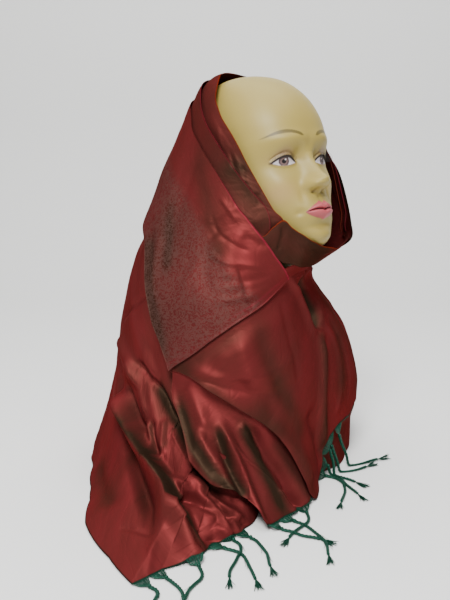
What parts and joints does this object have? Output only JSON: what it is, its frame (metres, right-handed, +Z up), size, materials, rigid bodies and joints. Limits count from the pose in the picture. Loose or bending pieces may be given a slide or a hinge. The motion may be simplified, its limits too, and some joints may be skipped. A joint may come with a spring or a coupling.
{
  "type": "hijab scarf on a limbless display bust",
  "caption": "Long fringed shot silk shawl wound as a hijab over a limbless head and shoulders display form.",
  "frame": {"origin": "centre of the form's flat base, on the surface that it stands on", "axes": "+Z up; the form faces -Y and its right hand is towards -X"},
  "size_m": [0.5015, 0.4373, 0.4869],
  "materials": {
    "silk": "shot silk jacquard, glossy, rust red with green-brown flanks",
    "fringe": "twisted silk tassels, emerald green",
    "form": "smooth satin painted skin, with painted lips, brows and eyes"
  },
  "bodies": {
    "root": {"hood": "silk", "pleat_middle": "silk", "pleat_inner": "silk", "chin_band": "silk", "front_wrap": "silk", "under_end": "silk", "near_end": "silk", "back_drape": "silk", "fringe_back": "fringe", "fringe_end": "fringe", "fringe_wrap": "fringe", "form": "form"}
  },
  "joints": []
}
